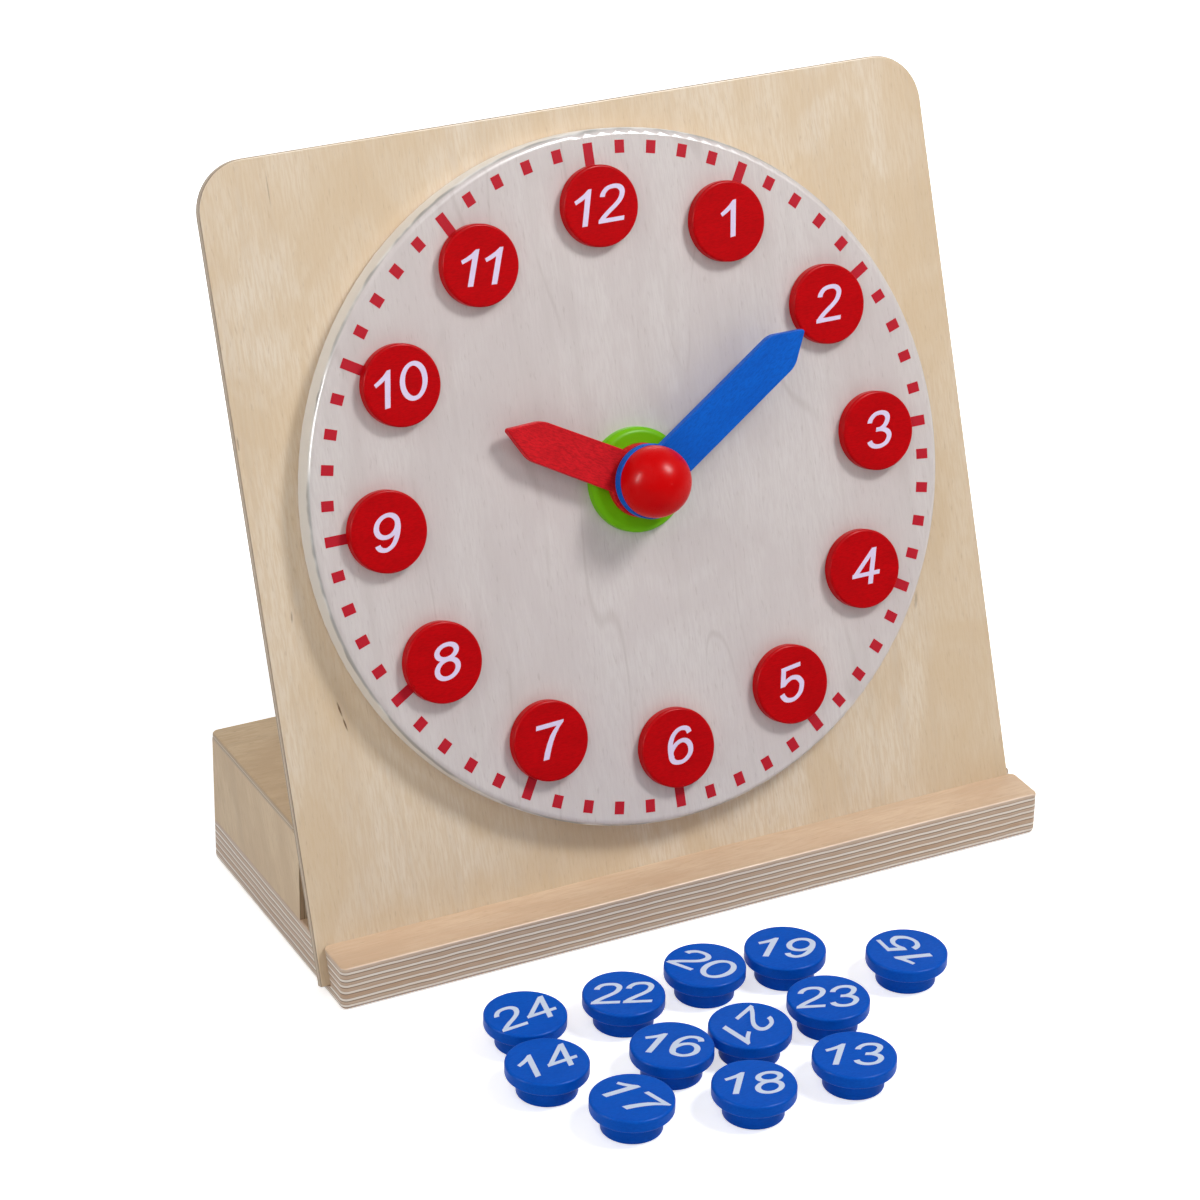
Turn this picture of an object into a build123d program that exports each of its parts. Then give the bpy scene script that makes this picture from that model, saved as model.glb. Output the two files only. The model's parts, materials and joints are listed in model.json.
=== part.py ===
from build123d import *
import math
import os

# Geared teaching clock. A plywood panel leans back from a grooved base and carries a round dial
# with twelve pull-out hour pegs. Turning the knob turns the minute hand, and a small gear train
# behind the dial carries the hour hand round at a twelfth of the speed. A lidded box behind the
# panel stores twelve more pegs, which stand in front of the base here.
# Millimetres, +Z up, dial facing -Y, origin at the centre of the underside of the base.

os.makedirs("parts", exist_ok=True)

# Base
base_width = 300.0
base_depth = 124.0
base_thick = 18.0
base_corner = 2.5
base_lower_round = 2.0
base_upper_round = 0.8

# Leaning panel, set in a groove across the base, and dial. The panel's rise and drop are
# measured along it from the middle of the dial.
lean = 20.0
rail_depth = 18.23
groove_web = 2.48
dial_shift = -2.7
dial_radius = 131.0
dial_thick = 12.0
dial_front_round = 2.5
dial_rear_round = 1.5
panel_thick = 4.0
panel_width = 299.8
panel_rise = 140.6
panel_drop = 163.3
panel_corner = 19.0
panel_edge_round = 0.6
slot_clear = 0.05
rail_end_round = 3.0

# Storage box and lid
wall_thick = 9.0
wall_height = 35.3
wall_corner = 2.5
box_gap = 3.5
lid_thick = 3.2
lid_front_gap = 2.9
lid_rear_gap = 0.5
lid_corner = 2.5
lid_upper_round = 1.2

# Butt hinges
hinge_inset = 55.0
hinge_axis_gap = 2.5
hinge_axis_drop = 0.5
knuckle_radius = 2.2
hinge_pin_radius = 1.1
hinge_pin_head = 1.7
hinge_pin_head_thick = 0.5
hinge_fit = 0.05
leaf_thick = 1.0
wall_leaf_height = 9.5
lid_leaf_reach = 8.7
leaf_gap = 0.3
leaf_screw_spacing = 18.0
leaf_screw_margin = 6.0
leaf_screw_rise = 3.0

# Pegs
peg_head_radius = 15.25
peg_head_thick = 5.0
peg_head_round = 0.9
peg_stem_radius = 11.2
peg_stem_length = 7.3
peg_stem_round = 0.4
peg_ring_inset = 28.0
peg_count = 12
peg_hole_clear = 0.3
peg_hole_extra_depth = 0.5
# Each loose peg, in head radii: right of the middle of the base, and in front of its front edge
loose_peg_spots = {
    13: (-0.3148, 7.9607),
    14: (-6.8984, 5.0885),
    15: (3.1410, 4.5705),
    16: (-3.9607, 5.7443),
    17: (-5.8098, 7.2721),
    18: (-3.0033, 7.9869),
    19: (0.5311, 3.1738),
    20: (-1.6000, 3.0033),
    21: (-1.9016, 5.8033),
    22: (-3.9541, 3.2787),
    23: (0.3672, 5.5607),
    24: (-6.4590, 3.0426),
}

# Hands, knob and washer
hand_thick = 3.5
hand_hub_radius = 14.0
hand_edge_round = 0.4
hand_tip_round = 1.0
hand_shoulder_round = 9.0
hour_hand_gap = 0.4
hour_hand_angle = 298.6
hour_hand_length = 60.2
hour_hand_shoulder = 47.2
hour_hand_root_width = 16.4
hour_hand_shoulder_width = 15.5
minute_hand_angle = 57.9
minute_hand_length = 85.0
minute_hand_shoulder = 72.4
minute_hand_root_width = 15.7
minute_hand_shoulder_width = 15.8
knob_radius = 13.5
knob_skirt = 1.7
washer_radius = 19.8
washer_thick = 5.0
washer_round = 2.4
washer_stub_radius = 8.0

# Arbors
shaft_fit = 0.05
arbor_radius = 3.0
arbor_rear_stand_out = 0.2
arbor_knob_depth = 9.5
hour_pipe_radius = 5.0
hour_pipe_stand_out = 0.7
collar_radius = 6.0
collar_gap = 0.4
collar_thick = 2.0
bush_radius = 5.0
idler_post_radius = 2.0
idler_post_socket = 2.8

# Gear train, module 1, in a pocket sunk in the back of the dial
gear_module = 1.0
pressure_angle = math.radians(25.0)
addendum = 1.0
dedendum = 1.25
backlash = 0.13
flank_steps = 5
cannon_teeth = 15
minute_wheel_teeth = 45
idler_pinion_teeth = 12
hour_wheel_teeth = 48
gear_width = 3.0
gear_layer_gap = 0.6
pocket_end_gap = 0.7
pocket_rim_gap = 2.5
idler_hub_step = 0.35

# Screws: head radius, shank radius, and how far the point goes into the piece that it holds
panel_screw_head = 3.4
panel_screw_shank = 1.6
panel_screw_bite = 7.5
base_screw_head = 3.6
base_screw_shank = 1.8
base_screw_bite = 14.0
hinge_screw_head = 1.7
hinge_screw_shank = 0.8
wall_hinge_screw_bite = 6.0
lid_hinge_screw_bite = 2.3
screw_point = 1.2
recess_share = 0.6
recess_width_share = 0.22
recess_depth = 0.9
panel_screw_radius = 75.0
panel_screw_angles = (45, 135, 225, 315)
base_screw_rows = 60.0
base_screw_sides = (22.0, 62.0)

# Worked out from the dimensions above
half_width = base_width / 2
rear_y = base_depth / 2
front_y = -base_depth / 2
wall_top = base_thick + wall_height
lean_sin = math.sin(math.radians(lean))
lean_cos = math.cos(math.radians(lean))
panel_stack = dial_thick + panel_thick

# The groove's place fixes the dial: the panel's rear lower edge stands groove_web above the
# underside, and its front face leaves a rail rail_depth deep at the top of the base.
dial_z = groove_web + panel_drop * lean_cos + panel_stack * lean_sin
dial_y = front_y + rail_depth - (dial_thick - (dial_z - base_thick) * lean_sin) / lean_cos
panel_rear_at_wall_top = dial_y + (panel_stack - (dial_z - wall_top) * lean_sin) / lean_cos
wall_front_y = panel_rear_at_wall_top + box_gap
lid_front_y = wall_front_y + lid_front_gap
lid_rear_y = rear_y - lid_rear_gap
hinge_spots = {"left": hinge_inset - half_width, "right": half_width - hinge_inset}
hinge_y = rear_y + hinge_axis_gap
hinge_z = wall_top - hinge_axis_drop
hinge_length = leaf_screw_spacing + 2 * leaf_screw_margin
rail_end_cut = rail_end_round + panel_thick / 2
knuckle_length = hinge_length / 3
panel_level = -dial_thick
panel_rear_level = panel_level - panel_thick
gear_centres = gear_module * (cannon_teeth + minute_wheel_teeth) / 2
hour_pocket_radius = gear_module * (hour_wheel_teeth / 2 + addendum) + pocket_rim_gap
idler_pocket_radius = gear_module * (minute_wheel_teeth / 2 + addendum) + pocket_rim_gap
idler_hub_radius = gear_module * (idler_pinion_teeth / 2 - dedendum) - idler_hub_step
pocket_depth = 2 * pocket_end_gap + 2 * gear_width + gear_layer_gap
minute_gear_level = panel_level + pocket_end_gap
hour_gear_level = minute_gear_level + gear_width + gear_layer_gap
pocket_floor_level = panel_level + pocket_depth
hour_hand_level = washer_thick + hour_hand_gap
hour_pipe_top = hour_hand_level + hand_thick + hour_pipe_stand_out
front_collar_level = hour_pipe_top + collar_gap
minute_hand_level = front_collar_level + collar_thick
knob_level = minute_hand_level + hand_thick
rear_collar_level = panel_rear_level - collar_gap - collar_thick
arbor_rear_level = rear_collar_level - arbor_rear_stand_out
peg_ring_radius = dial_radius - peg_ring_inset
panel_screw = (panel_screw_head, panel_screw_shank, panel_thick + panel_screw_bite)
base_screw = (base_screw_head, base_screw_shank, base_thick + base_screw_bite)
wall_hinge_screw = (hinge_screw_head, hinge_screw_shank, leaf_thick + wall_hinge_screw_bite)
lid_hinge_screw = (hinge_screw_head, hinge_screw_shank, leaf_thick + lid_hinge_screw_bite)
peg_hole_depth = peg_stem_length + peg_hole_extra_depth
toward_six = -90.0
toward_twelve = 90.0

dial_plane = Plane(
    origin=(dial_shift, dial_y, dial_z),
    x_dir=(1, 0, 0),
    z_dir=(0, -lean_cos, lean_sin),
)
outward = Axis(dial_plane.origin, dial_plane.z_dir)


def on_dial(right, up, out, clock_angle=0.0):
    """Plane parallel to the dial face, its origin this far right, up and out of the face's centre.

    Its Y axis points up the dial, or clockwise from there by clock_angle degrees.
    """
    turn = math.radians(clock_angle)
    return Plane(
        origin=dial_plane.from_local_coords((right, up, out)),
        x_dir=dial_plane.x_dir * math.cos(turn) - dial_plane.y_dir * math.sin(turn),
        z_dir=dial_plane.z_dir,
    )


def save(piece, name):
    piece.label = name
    export_step(piece, f"parts/{name}.step")


def cylinder_piece(plane, radius, length, bore=0.0):
    """Round bar or tube standing on a plane."""
    with BuildPart() as body:
        with BuildSketch(plane):
            Circle(radius)
            if bore:
                Circle(bore, mode=Mode.SUBTRACT)
        extrude(amount=length)
    return body.part


def block(x_range, y_range, z_range):
    """Upright rectangular block between two corners."""
    with BuildPart() as body:
        with BuildSketch(Plane.XY.offset(z_range[0])):
            with Locations((sum(x_range) / 2, sum(y_range) / 2)):
                Rectangle(x_range[1] - x_range[0], y_range[1] - y_range[0])
        extrude(amount=z_range[1] - z_range[0])
    return body.part


def screw(size):
    """Countersunk screw along +Z, its flat head at z = 0, without the driver recess."""
    head, shank, length = size
    with BuildPart() as body:
        with BuildSketch(Plane.XZ):
            with BuildLine():
                Polyline(
                    (0, 0),
                    (head, 0),
                    (shank, head - shank),
                    (shank, length - screw_point),
                    (0, length),
                    close=True,
                )
            make_face()
        revolve(axis=Axis.Z)
    return body.part


def driven_screw(size):
    """The same screw with a cross recess in its head."""
    head = size[0]
    with BuildPart() as body:
        add(screw(size))
        with Locations((0, 0, recess_depth / 2)):
            Box(2 * head * recess_share, 2 * head * recess_width_share, recess_depth, mode=Mode.SUBTRACT)
            Box(2 * head * recess_width_share, 2 * head * recess_share, recess_depth, mode=Mode.SUBTRACT)
    return body.part


def screws_at(size, planes):
    """The screws of one row, each pointing along its own plane."""
    with BuildPart() as group:
        with Locations(*[plane.location for plane in planes]):
            add(driven_screw(size))
    return group.part


def drill(size, planes):
    """Cut the holes of one row of screws out of the piece being built."""
    with Locations(*[plane.location for plane in planes]):
        add(screw(size), mode=Mode.SUBTRACT)


# Where the screws go
panel_screw_planes = [
    on_dial(
        panel_screw_radius * math.cos(math.radians(angle)),
        panel_screw_radius * math.sin(math.radians(angle)),
        panel_rear_level,
    )
    for angle in panel_screw_angles
]
side_wall_x = half_width - wall_thick / 2
front_wall_y = wall_front_y + wall_thick / 2
back_wall_y = rear_y - wall_thick / 2
base_screw_planes = [
    Plane((side * side_wall_x, rear_y - inset, 0)) for side in (-1, 1) for inset in base_screw_sides
]
base_screw_planes += [
    Plane((side * base_screw_rows, y, 0)) for side in (-1, 1) for y in (front_wall_y, back_wall_y)
]
wall_leaf_base = hinge_z - wall_leaf_height
wall_leaf_screw_z = wall_leaf_base + leaf_screw_rise
wall_hinge_screw_planes = [
    Plane((x + side * leaf_screw_spacing / 2, rear_y + leaf_thick, wall_leaf_screw_z), z_dir=(0, -1, 0))
    for x in hinge_spots.values()
    for side in (-1, 1)
]
lid_hinge_screw_planes = [
    Plane((x + side * leaf_screw_spacing / 2, rear_y - wall_thick / 2, wall_top - leaf_thick))
    for x in hinge_spots.values()
    for side in (-1, 1)
]


# ---------------------------------------------------------------- base
def rail_end_plane(side):
    """Plane square to the groove, centred on the round where the rail's rear face meets its end."""
    across = side * (half_width - rail_end_round) - dial_shift
    return Plane(
        origin=dial_plane.from_local_coords((across, -panel_drop, panel_level + slot_clear + rail_end_round)),
        x_dir=dial_plane.x_dir,
        z_dir=dial_plane.y_dir,
    )


with BuildPart() as base_slab:
    with BuildSketch():
        RectangleRounded(base_width, base_depth, base_corner)
    extrude(amount=base_thick)
    fillet(base_slab.faces().sort_by(Axis.Z)[0].edges(), base_lower_round)
    fillet(base_slab.faces().sort_by(Axis.Z)[-1].edges(), base_upper_round)
    slot_height = 2 * base_thick
    with BuildSketch(on_dial(0, -panel_drop + slot_height / 2, panel_rear_level - slot_clear)):
        Rectangle(2 * base_width, slot_height)
    extrude(amount=panel_thick + 2 * slot_clear, mode=Mode.SUBTRACT)
    for side in (-1, 1):
        with BuildSketch(rail_end_plane(side)):
            with Locations((side * rail_end_cut / 2, rail_end_cut / 2)):
                Rectangle(rail_end_cut, rail_end_cut)
            Circle(rail_end_round, mode=Mode.SUBTRACT)
        extrude(amount=slot_height, mode=Mode.SUBTRACT)
    drill(base_screw, base_screw_planes)
save(base_slab.part, "base_slab")
save(screws_at(base_screw, base_screw_planes), "base_screws")


# ---------------------------------------------------------------- storage box
inner_x = half_width - wall_thick
for name, side in (("wall_left", -1), ("wall_right", 1)):
    with BuildPart() as side_wall:
        across = sorted((side * inner_x, side * half_width))
        add(block(across, (wall_front_y, rear_y), (base_thick, wall_top)))
        outer_face = side_wall.faces().sort_by(Axis.X)[0 if side < 0 else -1]
        fillet(outer_face.edges().filter_by(Axis.Z).sort_by(Axis.Y)[-1], wall_corner)
        drill(base_screw, base_screw_planes)
    save(side_wall.part, name)

with BuildPart() as wall_front:
    add(block((-inner_x, inner_x), (wall_front_y, wall_front_y + wall_thick), (base_thick, wall_top)))
    drill(base_screw, base_screw_planes)
save(wall_front.part, "wall_front")

with BuildPart() as wall_back:
    add(block((-inner_x, inner_x), (rear_y - wall_thick, rear_y), (base_thick, wall_top)))
    for x in hinge_spots.values():
        reach = hinge_length / 2 + leaf_gap
        add(
            block(
                (x - reach, x + reach),
                (rear_y - wall_thick, rear_y),
                (wall_top - leaf_thick - leaf_gap, wall_top),
            ),
            mode=Mode.SUBTRACT,
        )
    drill(base_screw, base_screw_planes)
    drill(wall_hinge_screw, wall_hinge_screw_planes)
save(wall_back.part, "wall_back")

with BuildPart() as lid:
    with BuildSketch(Plane.XY.offset(wall_top)):
        with Locations((0, (lid_front_y + lid_rear_y) / 2)):
            RectangleRounded(base_width, lid_rear_y - lid_front_y, lid_corner)
    extrude(amount=lid_thick)
    fillet(lid.faces().sort_by(Axis.Z)[-1].edges(), lid_upper_round)
    drill(lid_hinge_screw, lid_hinge_screw_planes)
save(lid.part, "lid")


# ---------------------------------------------------------------- hinges
def across_hinge(x):
    """Plane square to the hinge axis, facing +X."""
    return Plane((x, hinge_y, hinge_z), x_dir=(0, 1, 0), z_dir=(1, 0, 0))


for side, x in hinge_spots.items():
    x_start = x - hinge_length / 2
    x_end = x + hinge_length / 2
    inner_start = x_start + knuckle_length
    inner_end = x_end - knuckle_length

    with BuildPart() as wall_leaf:
        tab_ends = (x_start, inner_start - leaf_gap), (inner_end + leaf_gap, x_end)
        knuckle_foot = hinge_z - knuckle_radius - leaf_gap
        add(block((x_start, x_end), (rear_y, rear_y + leaf_thick), (wall_leaf_base, knuckle_foot)))
        for start, end in tab_ends:
            add(block((start, end), (rear_y, rear_y + leaf_thick), (wall_leaf_base, hinge_z)))
            add(cylinder_piece(across_hinge(start), knuckle_radius, end - start))
        with BuildSketch(across_hinge(x_start)):
            Circle(hinge_pin_radius)
        extrude(amount=hinge_length, mode=Mode.SUBTRACT)
        drill(wall_hinge_screw, wall_hinge_screw_planes)
    save(wall_leaf.part, f"hinge_wall_leaf_{side}")

    with BuildPart() as lid_leaf:
        leaf_front = rear_y - lid_leaf_reach
        leaf_levels = (wall_top - leaf_thick, wall_top)
        add(block((x_start, x_end), (leaf_front, rear_y - leaf_gap), leaf_levels))
        tab = (inner_start + leaf_gap, inner_end - leaf_gap)
        add(block(tab, (leaf_front, hinge_y), leaf_levels))
        add(cylinder_piece(across_hinge(tab[0]), knuckle_radius, tab[1] - tab[0]))
        with BuildSketch(across_hinge(x_start)):
            Circle(hinge_pin_radius + hinge_fit)
        extrude(amount=hinge_length, mode=Mode.SUBTRACT)
        drill(lid_hinge_screw, lid_hinge_screw_planes)
    save(lid_leaf.part, f"hinge_lid_leaf_{side}")

    with BuildPart() as hinge_pin:
        add(cylinder_piece(across_hinge(x_start), hinge_pin_radius, hinge_length))
        for head_start in (x_start - hinge_pin_head_thick, x_end):
            add(cylinder_piece(across_hinge(head_start), hinge_pin_head, hinge_pin_head_thick))
    save(hinge_pin.part, f"hinge_pin_{side}")

save(screws_at(wall_hinge_screw, wall_hinge_screw_planes), "hinge_wall_screws")
save(screws_at(lid_hinge_screw, lid_hinge_screw_planes), "hinge_lid_screws")


# ---------------------------------------------------------------- panel and dial
with BuildPart() as back_panel:
    with BuildSketch(on_dial(0, (panel_rise - panel_drop) / 2, panel_rear_level)) as outline:
        Rectangle(panel_width, panel_rise + panel_drop)
        fillet([corner for corner in outline.vertices() if corner.Y > 0], panel_corner)
    extrude(amount=panel_thick)
    front_and_rear = back_panel.faces().sort_by(outward)
    fillet(front_and_rear[0].edges() + front_and_rear[-1].edges(), panel_edge_round)
    with BuildSketch(on_dial(0, 0, panel_rear_level)):
        Circle(bush_radius)
    extrude(amount=panel_thick, mode=Mode.SUBTRACT)
    drill(panel_screw, panel_screw_planes)
save(back_panel.part, "back_panel")
save(screws_at(panel_screw, panel_screw_planes), "dial_screws")

with BuildPart() as dial_disc:
    with BuildSketch(on_dial(0, 0, panel_level)):
        Circle(dial_radius)
    extrude(amount=dial_thick)
    fillet(dial_disc.faces().filter_by(GeomType.PLANE).sort_by(outward)[0].edges(), dial_rear_round)
    fillet(dial_disc.faces().filter_by(GeomType.PLANE).sort_by(outward)[-1].edges(), dial_front_round)
    with BuildSketch(on_dial(0, 0, panel_level)):
        Circle(hour_pocket_radius)
        with Locations((0, -gear_centres)):
            Circle(idler_pocket_radius)
    extrude(amount=pocket_depth, mode=Mode.SUBTRACT)
    with BuildSketch(on_dial(0, 0, pocket_floor_level)):
        Circle(washer_stub_radius)
    extrude(amount=-pocket_floor_level, mode=Mode.SUBTRACT)
    with BuildSketch(on_dial(0, -gear_centres, pocket_floor_level)):
        Circle(idler_post_radius)
    extrude(amount=idler_post_socket, mode=Mode.SUBTRACT)
    with BuildSketch(on_dial(0, 0, -peg_hole_depth)):
        with PolarLocations(peg_ring_radius, peg_count):
            Circle(peg_stem_radius + peg_hole_clear)
    extrude(amount=peg_hole_depth, mode=Mode.SUBTRACT)
    drill(panel_screw, panel_screw_planes)
save(dial_disc.part, "dial_disc")


# ---------------------------------------------------------------- pegs
def peg(plane):
    """Peg standing on its stem's end."""
    along = Axis(plane.origin, plane.z_dir)
    with BuildPart() as body:
        with BuildSketch(plane):
            Circle(peg_stem_radius)
        extrude(amount=peg_stem_length)
        fillet(body.faces().sort_by(along)[0].edges(), peg_stem_round)
        with BuildSketch(plane.offset(peg_stem_length)):
            Circle(peg_head_radius)
        extrude(amount=peg_head_thick)
        fillet(body.edges().filter_by(GeomType.CIRCLE).group_by(SortBy.RADIUS)[-1], peg_head_round)
    return body.part


for hour in range(1, peg_count + 1):
    angle = math.radians(toward_twelve - 360 / peg_count * hour)
    right = peg_ring_radius * math.cos(angle)
    up = peg_ring_radius * math.sin(angle)
    save(peg(on_dial(right, up, -peg_stem_length)), f"red_peg_{hour}")

for number, (x, distance) in loose_peg_spots.items():
    spot = (x * peg_head_radius, front_y - distance * peg_head_radius, 0)
    save(peg(Plane(spot)), f"blue_peg_{number}")


# ---------------------------------------------------------------- washer, arbors and bushes
with BuildPart() as green_washer:
    with BuildSketch(on_dial(0, 0, 0)):
        Circle(washer_radius)
    extrude(amount=washer_thick)
    fillet(green_washer.faces().sort_by(outward)[-1].edges(), washer_round)
    with BuildSketch(on_dial(0, 0, pocket_floor_level)):
        Circle(washer_stub_radius)
    extrude(amount=-pocket_floor_level)
    with BuildSketch(on_dial(0, 0, pocket_floor_level)):
        Circle(hour_pipe_radius + shaft_fit)
    extrude(amount=washer_thick - pocket_floor_level, mode=Mode.SUBTRACT)
save(green_washer.part, "green_washer")

save(
    cylinder_piece(on_dial(0, 0, panel_rear_level), bush_radius, panel_thick, arbor_radius + shaft_fit),
    "rear_bush",
)
save(
    cylinder_piece(
        on_dial(0, -gear_centres, panel_level),
        idler_post_radius,
        pocket_depth + idler_post_socket,
    ),
    "idler_post",
)
save(
    cylinder_piece(on_dial(0, 0, rear_collar_level), collar_radius, collar_thick, arbor_radius),
    "rear_collar",
)

with BuildPart() as minute_arbor:
    with BuildSketch(on_dial(0, 0, arbor_rear_level)):
        Circle(arbor_radius)
    extrude(amount=knob_level + arbor_knob_depth - arbor_rear_level)
    with BuildSketch(on_dial(0, 0, front_collar_level)):
        Circle(collar_radius)
    extrude(amount=collar_thick)
save(minute_arbor.part, "minute_arbor")

save(
    cylinder_piece(
        on_dial(0, 0, hour_gear_level),
        hour_pipe_radius,
        hour_pipe_top - hour_gear_level,
        arbor_radius + shaft_fit,
    ),
    "hour_pipe",
)


# ---------------------------------------------------------------- hands and knob
def hand(level, clock_angle, bore, length, shoulder, root_width, shoulder_width):
    """Pointed hand with a round hub, turned clockwise from twelve."""
    with BuildPart() as body:
        with BuildSketch(on_dial(0, 0, level, clock_angle)) as outline:
            Circle(hand_hub_radius)
            with BuildLine():
                Polyline(
                    (-root_width / 2, 0),
                    (-shoulder_width / 2, shoulder),
                    (0, length),
                    (shoulder_width / 2, shoulder),
                    (root_width / 2, 0),
                    close=True,
                )
            make_face()
            shoulders = [corner for corner in outline.vertices() if abs(corner.Y - shoulder) < hand_tip_round]
            fillet(shoulders, hand_shoulder_round)
            fillet(outline.vertices().sort_by(Axis.Y)[-1], hand_tip_round)
        extrude(amount=hand_thick)
        fillet(body.faces().sort_by(outward)[-1].edges(), hand_edge_round)
        with BuildSketch(on_dial(0, 0, level)):
            Circle(bore)
        extrude(amount=hand_thick, mode=Mode.SUBTRACT)
    return body.part


save(
    hand(
        hour_hand_level,
        hour_hand_angle,
        hour_pipe_radius,
        hour_hand_length,
        hour_hand_shoulder,
        hour_hand_root_width,
        hour_hand_shoulder_width,
    ),
    "hour_hand",
)
save(
    hand(
        minute_hand_level,
        minute_hand_angle,
        arbor_radius,
        minute_hand_length,
        minute_hand_shoulder,
        minute_hand_root_width,
        minute_hand_shoulder_width,
    ),
    "minute_hand",
)

with BuildPart() as hand_knob:
    with BuildSketch(on_dial(0, 0, knob_level)):
        Circle(knob_radius)
    extrude(amount=knob_skirt)
    with Locations(on_dial(0, 0, knob_level + knob_skirt).location):
        Sphere(knob_radius, arc_size1=0, align=(Align.CENTER, Align.CENTER, Align.MIN))
    with BuildSketch(on_dial(0, 0, knob_level)):
        Circle(arbor_radius)
    extrude(amount=arbor_knob_depth, mode=Mode.SUBTRACT)
save(hand_knob.part, "hand_knob")


# ---------------------------------------------------------------- gear train
def involute(angle):
    return math.tan(angle) - angle


def polar(radius, angle):
    return (radius * math.cos(angle), radius * math.sin(angle))


def gear(plane, teeth, bore, tooth_direction):
    """Spur gear with involute flanks, one tooth centred on tooth_direction (degrees)."""
    pitch_radius = gear_module * teeth / 2
    base_radius = pitch_radius * math.cos(pressure_angle)
    root_radius = pitch_radius - dedendum * gear_module
    tip_radius = pitch_radius + addendum * gear_module
    flank_foot = max(base_radius, root_radius)
    tooth_pitch = 2 * math.pi / teeth
    base_half_angle = (math.pi * gear_module - backlash) / (4 * pitch_radius) + involute(pressure_angle)

    def half_angle(radius):
        return base_half_angle - involute(math.acos(base_radius / radius))

    radii = [flank_foot + (tip_radius - flank_foot) * step / flank_steps for step in range(flank_steps + 1)]
    with BuildPart() as body:
        with BuildSketch(plane):
            with BuildLine():
                for tooth in range(teeth):
                    centre = math.radians(tooth_direction) + tooth * tooth_pitch
                    start = polar(root_radius, centre - half_angle(flank_foot))
                    end = polar(root_radius, centre + half_angle(flank_foot))
                    rising = [polar(radius, centre - half_angle(radius)) for radius in radii]
                    falling = [polar(radius, centre + half_angle(radius)) for radius in reversed(radii)]
                    if root_radius < flank_foot:
                        Line(start, rising[0])
                        Line(falling[-1], end)
                    Spline(*rising)
                    ThreePointArc(rising[-1], polar(tip_radius, centre), falling[0])
                    Spline(*falling)
                    next_start = polar(root_radius, centre + tooth_pitch - half_angle(flank_foot))
                    ThreePointArc(end, polar(root_radius, centre + tooth_pitch / 2), next_start)
            make_face()
            Circle(bore, mode=Mode.SUBTRACT)
        extrude(amount=gear_width)
    return body.part


# A tooth of each driving pinion points at the centre of a space in the wheel it drives.
save(gear(on_dial(0, 0, minute_gear_level), cannon_teeth, arbor_radius, toward_six), "cannon_pinion")
save(
    gear(
        on_dial(0, -gear_centres, minute_gear_level),
        minute_wheel_teeth,
        idler_post_radius + shaft_fit,
        toward_twelve + 180 / minute_wheel_teeth,
    ),
    "minute_wheel",
)
save(
    gear(
        on_dial(0, 0, hour_gear_level),
        hour_wheel_teeth,
        hour_pipe_radius,
        toward_six + 180 / hour_wheel_teeth,
    ),
    "hour_wheel",
)

with BuildPart() as idler_pinion:
    add(
        gear(
            on_dial(0, -gear_centres, hour_gear_level),
            idler_pinion_teeth,
            idler_post_radius + shaft_fit,
            toward_twelve,
        )
    )
    with BuildSketch(on_dial(0, -gear_centres, hour_gear_level - gear_layer_gap)):
        Circle(idler_hub_radius)
        Circle(idler_post_radius + shaft_fit, mode=Mode.SUBTRACT)
    extrude(amount=gear_layer_gap)
save(idler_pinion.part, "idler_pinion")
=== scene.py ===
import json
import math

import bmesh
import bpy
from mathutils import Matrix, Vector


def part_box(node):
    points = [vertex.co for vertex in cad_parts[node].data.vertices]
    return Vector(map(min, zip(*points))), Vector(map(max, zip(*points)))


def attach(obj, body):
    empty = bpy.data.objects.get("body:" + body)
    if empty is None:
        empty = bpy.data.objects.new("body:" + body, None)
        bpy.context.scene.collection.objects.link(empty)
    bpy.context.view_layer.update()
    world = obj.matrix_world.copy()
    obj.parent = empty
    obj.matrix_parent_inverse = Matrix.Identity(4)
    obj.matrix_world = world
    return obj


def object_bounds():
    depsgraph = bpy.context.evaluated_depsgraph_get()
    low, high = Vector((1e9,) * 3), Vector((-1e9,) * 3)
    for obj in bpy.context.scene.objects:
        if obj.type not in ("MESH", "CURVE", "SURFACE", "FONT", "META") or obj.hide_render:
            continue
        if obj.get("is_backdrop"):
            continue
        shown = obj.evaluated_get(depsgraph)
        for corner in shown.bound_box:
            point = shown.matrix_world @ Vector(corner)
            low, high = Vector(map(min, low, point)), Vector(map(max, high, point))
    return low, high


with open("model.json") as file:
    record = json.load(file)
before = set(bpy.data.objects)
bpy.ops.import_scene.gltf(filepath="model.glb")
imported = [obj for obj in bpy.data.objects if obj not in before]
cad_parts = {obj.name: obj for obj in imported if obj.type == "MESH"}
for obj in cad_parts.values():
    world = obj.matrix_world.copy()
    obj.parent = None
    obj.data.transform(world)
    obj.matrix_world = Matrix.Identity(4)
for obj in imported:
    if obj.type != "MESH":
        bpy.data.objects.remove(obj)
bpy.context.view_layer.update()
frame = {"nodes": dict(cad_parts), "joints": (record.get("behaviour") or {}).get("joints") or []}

MM = 0.001
NODES = frame["nodes"]
JOINTS = {joint["name"]: joint for joint in frame["joints"]}

# ---------------------------------------------------------------- the dial's own directions
DIAL_CENTRE = Vector(JOINTS["minute_spin"]["pos_m"])
OUTWARD = -Vector(JOINTS["minute_spin"]["axis"]).normalized()
RIGHTWARD = Vector((1, 0, 0))
UPWARD = OUTWARD.cross(RIGHTWARD)

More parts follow.
